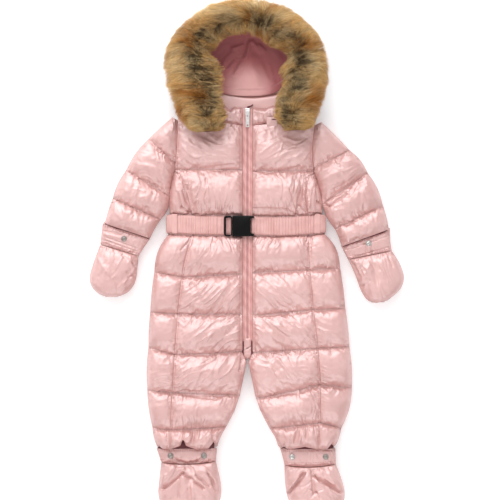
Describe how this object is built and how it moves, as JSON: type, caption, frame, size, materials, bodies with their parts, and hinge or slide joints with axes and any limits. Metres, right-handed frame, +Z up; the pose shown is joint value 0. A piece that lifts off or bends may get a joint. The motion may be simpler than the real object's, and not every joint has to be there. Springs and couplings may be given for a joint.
{
  "type": "baby snowsuit",
  "caption": "One-piece padded baby snowsuit laid flat, with a fur-edged hood, front zip, elastic belt with buckle, fold-over mittens and booties.",
  "frame": {"origin": "middle of the bounding box's underside, on the surface the suit lies on", "axes": "+X to the wearer's left, +Y from the feet to the hood, +Z up from the surface, out of the suit's front"},
  "size_m": [0.536, 0.8775, 0.0954],
  "materials": {
    "shell": "pearly coated nylon, quilted and filled",
    "lining": "soft brushed lining",
    "fur": "long-pile acrylic faux fur",
    "zip": "woven zip tape with moulded teeth",
    "metal": "plated, polished",
    "buckle": "glossy black acetal",
    "belt": "gathered elastic webbing"
  },
  "bodies": {
    "suit": {"back_l": "shell", "back_r": "shell", "belt_back": "belt", "belt_l": "belt", "belt_loop_l": "belt", "belt_loop_r": "belt", "belt_r": "belt", "bootie_band_l": "shell", "bootie_band_r": "shell", "bootie_top_l": "shell", "bootie_top_r": "shell", "bootie_under_l": "shell", "bootie_under_r": "shell", "buckle_body": "buckle", "buckle_frame": "buckle", "collar_back": "lining", "collar_l": "shell", "collar_r": "shell", "collar_tab": "shell", "front_centre_l": "shell", "front_centre_r": "shell", "front_side_l": "shell", "front_side_r": "shell", "fur_trim": "fur", "hood_lining": "lining", "hood_shell": "shell", "mitten_band_l": "shell", "mitten_band_r": "shell", "mitten_top_l": "shell", "mitten_top_r": "shell", "mitten_under_l": "shell", "mitten_under_r": "shell", "sleeve_back_l": "shell", "sleeve_back_r": "shell", "sleeve_front_l": "shell", "sleeve_front_r": "shell", "snap_bootie_l_inner": "metal", "snap_bootie_l_outer": "metal", "snap_bootie_r_inner": "metal", "snap_bootie_r_outer": "metal", "snap_mitten_l": "metal", "snap_mitten_r": "metal", "zip_slider": "metal", "zip_tape_l": "zip", "zip_tape_r": "zip"},
    "pull": {"zip_pull": "metal"}
  },
  "joints": [
    {"name": "pull_hinge", "type": "hinge", "parent": "suit", "child": "pull", "pos_m": [0, 0.247, 0.0349], "axis": [-1, 0, 0], "range_deg": [0, 150]}
  ]
}
